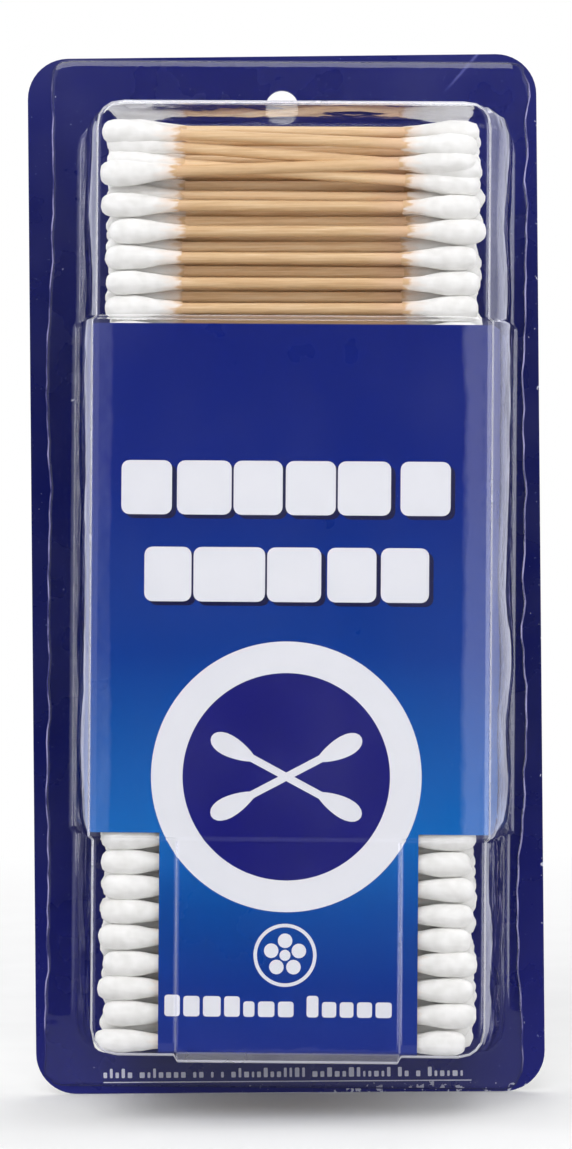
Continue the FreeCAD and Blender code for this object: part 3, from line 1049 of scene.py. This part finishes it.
# A geometry tree whose inputs are floats or whole numbers with a default, then its material
def geometryTree(name, values):
    tree = bpy.data.node_groups.new(name, "GeometryNodeTree")
    tree.interface.new_socket("Geometry", in_out="INPUT", socket_type="NodeSocketGeometry")
    tree.interface.new_socket("Geometry", in_out="OUTPUT", socket_type="NodeSocketGeometry")
    for label, value in values.items():
        kind = "NodeSocketInt" if isinstance(value, int) else "NodeSocketFloat"
        tree.interface.new_socket(label, in_out="INPUT", socket_type=kind).default_value = value
    tree.interface.new_socket("Material", in_out="INPUT", socket_type="NodeSocketMaterial")
    return tree, tree.nodes.new("NodeGroupInput").outputs, tree.nodes.new("NodeGroupOutput")


def onPlaces(tree, given, shape, inputs=None):
    turn = addNode(tree, "GeometryNodeInputNamedAttribute", {"Name": "turn"}, data_type="FLOAT_VECTOR")
    settings = {"Points": given["Geometry"], "Instance": shape, "Rotation": turn.outputs["Attribute"]}
    return addNode(tree, "GeometryNodeInstanceOnPoints", {**settings, **(inputs or {})}).outputs[0]


def attributeStored(tree, geometry, name, value, domain):
    made = addNode(
        tree,
        "GeometryNodeStoreNamedAttribute",
        {"Geometry": geometry, "Name": name, "Value": value},
        data_type="FLOAT",
        domain=domain,
    )
    return made.outputs[0]


# Makes the instances real, shifts their points by noise and gives them their material
def finishTree(tree, given, result, instances, stretch, detail, size):
    real = addNode(tree, "GeometryNodeRealizeInstances", {0: instances})
    at = addNode(tree, "GeometryNodeInputPosition").outputs[0]
    uneven = noiseAt(tree, vectorCalc(tree, "MULTIPLY", at, stretch), 1.0, detail, "Color")
    centred = vectorCalc(tree, "SUBTRACT", uneven, (0.5, 0.5, 0.5))
    small = addNode(tree, "ShaderNodeVectorMath", {0: centred, "Scale": size}, operation="SCALE")
    moved = addNode(tree, "GeometryNodeSetPosition", {"Geometry": real.outputs[0], "Offset": small.outputs[0]})
    painted = addNode(
        tree, "GeometryNodeSetMaterial", {"Geometry": moved.outputs[0], "Material": given["Material"]}
    )
    fill(tree, result, {"Geometry": painted.outputs[0]})
    return tree


def stickTree():
    tree, given, result = geometryTree(
        "swabSticks", {"Stick Length": 0.0695, "Stick Diameter": 0.00225, "Sides": 10, "Seed": 3}
    )
    radius = calc(tree, "MULTIPLY", given["Stick Diameter"], 0.5)
    sizes = {"Vertices": given["Sides"], "Side Segments": 3, "Radius": radius, "Depth": given["Stick Length"]}
    rod = addNode(tree, "GeometryNodeMeshCylinder", sizes).outputs["Mesh"]
    lying = addNode(tree, "GeometryNodeTransform", {"Geometry": rod, "Rotation": (0, math.pi / 2, 0)})
    put = onPlaces(tree, given, lying.outputs[0])
    chance = addNode(tree, "FunctionNodeRandomValue", {"Seed": given["Seed"]}, data_type="FLOAT").outputs[1]
    marked = attributeStored(tree, put, "swabSeed", chance, "INSTANCE")
    return finishTree(tree, given, result, marked, (12.0, 300.0, 300.0), 1.0, 0.0003)


# How the rings of a tip spread along it, and its fatness from the nose to the neck
tipSpread = ((0.0, 0.0), (1.0, 1.0), (0.167, 0.045), (0.333, 0.17), (0.5, 0.38), (0.667, 0.6), (0.833, 0.81))
tipOutline = (
    (0.0, 0.08), (1.0, 0.0), (0.02, 0.12), (0.045, 0.44), (0.085, 0.7), (0.14, 0.88), (0.22, 0.98),
    (0.3, 1.0), (0.42, 0.9), (0.55, 0.68), (0.68, 0.42), (0.8, 0.2), (0.91, 0.06),
)


def curved(tree, value, places):
    made = addNode(tree, "ShaderNodeFloatCurve", {"Value": value})
    curve = made.mapping.curves[0]
    for point, where in zip(curve.points, places[:2]):
        point.location = where
    for where in places[2:]:
        curve.points.new(*where)
    made.mapping.update()
    return made.outputs[0]


def tipTree():
    tree, given, result = geometryTree(
        "cottonTips",
        {
            "Swab Length": 0.0755,
            "Tip Length": 0.0155,
            "Tip Diameter": 0.00475,
            "Neck Diameter": 0.0026,
            "Side": 1.0,
            "Sides": 8,
            "Steps": 6,
            "Lumps": 0.0006,
            "Seed": 3,
        },
    )
    sizes = {"Vertices": given["Sides"], "Side Segments": given["Steps"], "Radius": 1.0, "Depth": 1.0}
    tube = addNode(tree, "GeometryNodeMeshCylinder", sizes, fill_type="NGON").outputs["Mesh"]
    x, y, z = split(tree, addNode(tree, "GeometryNodeInputPosition").outputs[0])
    share = calc(tree, "ADD", z, 0.5)
    eased = curved(tree, share, tipSpread)
    fat = calc(tree, "MULTIPLY", given["Tip Diameter"], 0.5)
    neck = calc(tree, "MULTIPLY", given["Neck Diameter"], 0.5)
    fatter = calc(tree, "MULTIPLY", curved(tree, eased, tipOutline), calc(tree, "SUBTRACT", fat, neck))
    isNose = calc(tree, "LESS_THAN", share, 0.01)
    radius = mixValues(tree, isNose, calc(tree, "ADD", neck, fatter), calc(tree, "MULTIPLY", fat, 0.2))
    end = calc(tree, "MULTIPLY", given["Swab Length"], 0.5)
    reach = calc(tree, "SUBTRACT", end, calc(tree, "MULTIPLY", eased, given["Tip Length"]))
    formed = addNode(
        tree,
        "ShaderNodeCombineXYZ",
        {
            0: calc(tree, "MULTIPLY", reach, given["Side"]),
            1: calc(tree, "MULTIPLY", x, radius),
            2: calc(tree, "MULTIPLY", y, radius),
        },
    )
    named = attributeStored(tree, tube, "tipAlong", eased, "POINT")
    shaped = addNode(tree, "GeometryNodeSetPosition", {"Geometry": named, "Position": formed.outputs[0]})
    # Length, depth and height of each tip vary a little
    chance = addNode(tree, "FunctionNodeRandomValue", {"Seed": given["Seed"]}, data_type="FLOAT_VECTOR")
    chance.inputs[0].default_value = (0.975, 0.86, 0.95)
    chance.inputs[1].default_value = (1.012, 0.9, 1.05)
    put = onPlaces(tree, given, shaped.outputs[0], {"Scale": chance.outputs[0]})
    return finishTree(tree, given, result, put, (230.0, 420.0, 420.0), 2.0, given["Lumps"])


def fromTree(name, tree, source, values, slot, stoodFor):
    host = addObject(name, source.data.copy())
    grown = host.modifiers.new("grown", "NODES")
    grown.node_group = tree
    ids = {item.name: item.identifier for item in tree.interface.items_tree if item.in_out == "INPUT"}
    for label, value in values.items():
        grown[ids[label]] = value
    mesh = modifiedMesh(host)
    bpy.data.objects.remove(host)
    mesh.name = name
    turnOutward(mesh)
    mesh.transform(toPack)
    finishPiece(addObject(name, mesh), slot, *stoodFor, smooth=55, material=values["Material"])


def swabStack():
    sticks, tips = stickTree(), tipTree()
    # The front layer has more faces than those behind it
    groups = (
        ("front", "wood", [0], 14, 16, 10),
        # The layers behind use a paler copy of the wood: painted light against the shade between the layers
        ("stack", "paintedLightWood", list(range(1, swabs["layers"])), 8, 8, 6),
    )
    for label, wood, layers, stickSides, tipSides, tipSteps in groups:
        numbers = [f"{layer + 1:02d}" for layer in layers]
        places = placesObject(f"{label}Places", layers)
        values = {
            "Stick Length": (swabs["length"] - swabs["stickShorter"]) * mm,
            "Stick Diameter": swabs["stick"] * mm,
            "Sides": stickSides,
            "Material": looks[wood],
        }
        fromTree(f"{label}_sticks", sticks, places, values, "stick", [f"swab_sticks_{n}" for n in numbers])
        for side, word, seed in ((-1.0, "left", 3), (1.0, "right", 8)):
            values = {
                "Swab Length": swabs["length"] * mm,
                "Tip Length": swabs["tipLength"] * mm,
                "Tip Diameter": swabs["tip"] * mm,
                "Side": side,
                "Sides": tipSides,
                "Steps": tipSteps,
                "Seed": seed,
                "Material": looks["cotton"],
            }
            stoodFor = [f"{word}_cotton_tips_{n}" for n in numbers]
            fromTree(f"{label}_{word}_tips", tips, places, values, "cotton", stoodFor)
        bpy.data.objects.remove(places)


# Studio: each pair in the mirrored room and on the floor is where a mask starts and where it is full.
# A lamp has its place in metres, its width and height, and its power.

studio = {
    "distance": 712.0,
    "right": 10.0,
    "height": -99.3,
    "lens": 105.0,
    "roll": 0.5,
    "clipStart": 0.05,
    "roomLight": 0.6,
    "roomGloss": 0.85,
    "roomTint": (232, 234, 255),
    "darkWall": 0.014,
    "darkForward": (-0.2, -0.5),
    "darkRight": (0.27, 0.2),
    "darkLeft": (0.34, 0.24),
    "darkHeight": (0.6, 0.45),
    "panelGloss": 1.1,
    "panelForward": (-0.6, -0.8),
    "panelRight": (0.2, 0.26),
    "panelHeight": (0.35, 0.25),
    "floor": -209.3,
    "floorFront": 0.13,
    "floorBack": 0.9,
    "floorHalf": 0.8,
    "floorLook": (0.93, 0.96),
    "floorGloss": (0.25, 0.75),
    "glossDepth": (-0.02, 0.05),
    "glowFront": (-0.045, -0.125),
    "glowBack": (0.15, 0.6),
    "glowAside": (0.1, 0.5),
    "lampsAimAt": (0, 0, -0.1),
    "lamps": {
        "keyLight": ((-0.2, -1.0, 0.8), 0.9, 0.8, 7.6),
        "fillLight": ((0.75, -0.75, -0.1), 0.7, 0.7, 2.6),
        "leftStrip": ((-0.9, -0.12, -0.08), 0.25, 1.1, 2.8),
        "rightStrip": ((0.9, -0.12, -0.08), 0.25, 1.1, 2.8),
        "backLight": ((0.2, 0.9, 0.9), 0.9, 0.9, 3.0),
    },
}


def product(tree, masks):
    found = masks[0]
    for mask in masks[1:]:
        found = calc(tree, "MULTIPLY", found, mask)
    return found


# What gloss mirrors: a pale room, a bright panel to the right and a dark wall behind the photographer
def mirroredRoom(tree):
    aside, forward, up = split(tree, addNode(tree, "ShaderNodeTexCoord").outputs["Generated"])
    leftward = calc(tree, "MULTIPLY", aside, -1.0)
    level = calc(tree, "ABSOLUTE", up)

    def masked(*parts):
        return product(tree, [remap(tree, value, *studio[name]) for value, name in parts])

    dark = masked(
        (forward, "darkForward"), (aside, "darkRight"), (leftward, "darkLeft"), (level, "darkHeight")
    )
    panel = masked((forward, "panelForward"), (aside, "panelRight"), (level, "panelHeight"))
    pale = mixValues(tree, panel, studio["roomGloss"], studio["panelGloss"])
    return mixValues(tree, dark, pale, studio["darkWall"])


def addWorld():
    world = bpy.data.worlds.new("softRoom")
    scene.world = world
    world.use_nodes = True
    tree = world.node_tree
    tree.nodes.clear()
    rays = addNode(tree, "ShaderNodeLightPath").outputs
    mirrored = mirroredRoom(tree)
    scattered = calc(tree, "GREATER_THAN", rays["Diffuse Depth"], 0.5)
    glossed = calc(tree, "GREATER_THAN", rays["Glossy Depth"], 0.5)
    seen = calc(tree, "MAXIMUM", rays["Is Camera Ray"], rays["Is Transmission Ray"])
    seen = calc(tree, "MAXIMUM", seen, rays["Is Glossy Ray"])
    seen = calc(tree, "MULTIPLY", seen, calc(tree, "SUBTRACT", 1.0, scattered))
    # White to the camera, mirrored where glossy, and a plain soft light for all scattered rays
    strength = mixValues(tree, seen, studio["roomLight"], mixValues(tree, glossed, 1.0, mirrored))
    tinted = calc(tree, "MULTIPLY", glossed, seen)
    tint = blendColours(tree, tinted, (1, 1, 1, 1), colour(*studio["roomTint"]))
    mixed = addNode(tree, "ShaderNodeBackground", {"Color": tint, "Strength": strength})
    addNode(tree, "ShaderNodeOutputWorld", {0: mixed.outputs[0]})


def addLamps():
    for name, (spot, wide, tall, power) in studio["lamps"].items():
        lamp = bpy.data.lights.new(name, "AREA")
        lamp.shape = "RECTANGLE"
        lamp.size = wide
        lamp.size_y = tall
        lamp.energy = power
        made = addObject(name, lamp)
        made.location = spot
        aim = Vector(studio["lampsAimAt"]) - Vector(spot)
        made.rotation_euler = aim.to_track_quat("-Z", "Y").to_euler()


def addCamera():
    lens = bpy.data.cameras.new("productCamera")
    lens.lens = studio["lens"]
    lens.clip_start = studio["clipStart"]
    camera = addObject("productCamera", lens)
    right, distance, height = (studio[name] for name in ("right", "distance", "height"))
    yaw = math.atan2(right, distance)
    straight = Matrix.Rotation(yaw, 4, "Z") @ Matrix.Rotation(math.radians(90), 4, "X")
    camera.matrix_world = (
        Matrix.Translation((right * mm, -distance * mm, height * mm))
        @ Matrix.Rotation(math.radians(studio["roll"]), 4, "Y")
        @ straight
    )
    scene.camera = camera


# Pale floor that glows to plain white away from the pack. Gloss sees it dim in front and pale behind.
def floorMaterial():
    made, tree, shader, at = newMaterial("paleFloor")
    dark, pale = studio["floorLook"]
    grain = ramp(tree, noiseAt(tree, at, 40.0), [(0.3, dark), (0.7, pale)])
    fill(tree, shader, {"Base Color": grain, "Roughness": 0.9})
    x, y, _ = split(tree, at)
    forward = remap(tree, y, *studio["glowFront"])
    behind = remap(tree, y, *studio["glowBack"])
    beside = remap(tree, calc(tree, "ABSOLUTE", x), *studio["glowAside"])
    far = calc(tree, "MAXIMUM", calc(tree, "MAXIMUM", forward, behind), beside)
    rays = addNode(tree, "ShaderNodeLightPath").outputs
    seen = calc(tree, "MAXIMUM", rays["Is Camera Ray"], rays["Is Glossy Ray"])
    seen = calc(tree, "MAXIMUM", seen, rays["Is Transmission Ray"])
    glow = addNode(tree, "ShaderNodeEmission", {"Color": (1, 1, 1, 1), "Strength": 1.0})
    shares = {0: calc(tree, "MULTIPLY", seen, far), 1: shader.outputs[0], 2: glow.outputs[0]}
    lit = addNode(tree, "ShaderNodeMixShader", shares).outputs[0]
    depth = remap(tree, y, *studio["glossDepth"], *studio["floorGloss"])
    dim = addNode(tree, "ShaderNodeEmission", {"Color": colour(*studio["roomTint"]), "Strength": depth})
    glossed = calc(tree, "GREATER_THAN", rays["Glossy Depth"], 0.5)
    mixed = addNode(tree, "ShaderNodeMixShader", {0: glossed, 1: lit, 2: dim.outputs[0]})
    fill(tree, tree.nodes["Material Output"], {0: mixed.outputs[0]})
    return made


def addFloor():
    front, back, half = studio["floorFront"], studio["floorBack"], studio["floorHalf"]
    corners = [(-half, -front, 0), (half, -front, 0), (half, back, 0), (-half, back, 0)]
    mesh = newMesh("floor", corners, [(0, 1, 2, 3)])
    mesh.transform(Matrix.Translation((0, 0, studio["floor"] * mm)))
    mesh.materials.append(floorMaterial())
    addObject("floor", mesh)


scene.view_settings.view_transform = "Standard"
looks = {
    "card": cardMaterial(),
    "insert": insertMaterial(),
    "board": insertBackMaterial(),
    "wood": woodMaterial("birchStick", (198, 157, 110), (221, 186, 141), (235, 208, 169)),
    # A paler copy of the birch for the layers behind: painted light that makes up for their shade
    "paintedLightWood": woodMaterial("birchStickPaintedLight", (212, 170, 122), (238, 205, 160), (246, 224, 188)),
    "cotton": cottonMaterial(),
    "film": filmMaterial(),
    "filmEdge": filmEdgeMaterial(),
    "formedEdge": formedEdgeMaterial("formedFilmEdge", 0.55),
    "formedRib": formedEdgeMaterial("formedFilmRib", 0.86),
    "inkWhite": inkMaterial("whiteInk", (232, 232, 236), (226, 227, 232)),
    "inkNavy": inkMaterial("navyInk", (12, 12, 106), (16, 18, 116)),
    "inkCard": inkMaterial("cardInk", (240, 240, 248), (222, 224, 242)),
    "inkShadow": inkMaterial("shadowInk", (10, 14, 60), (14, 18, 70)),
}

addWorld()
addLamps()
addCamera()
addFloor()
print("studio ready")
card = nodes["backing_card"]
card.data.materials.clear()
card.data.materials.append(looks["card"])
swabStack()
print("swabs in place")
foldedSheet()
headline()
roundBadge()
pictogram()
emblem()
smallRow()
cardRule()
print("insert printed")
blisterShell()
print("blister formed")
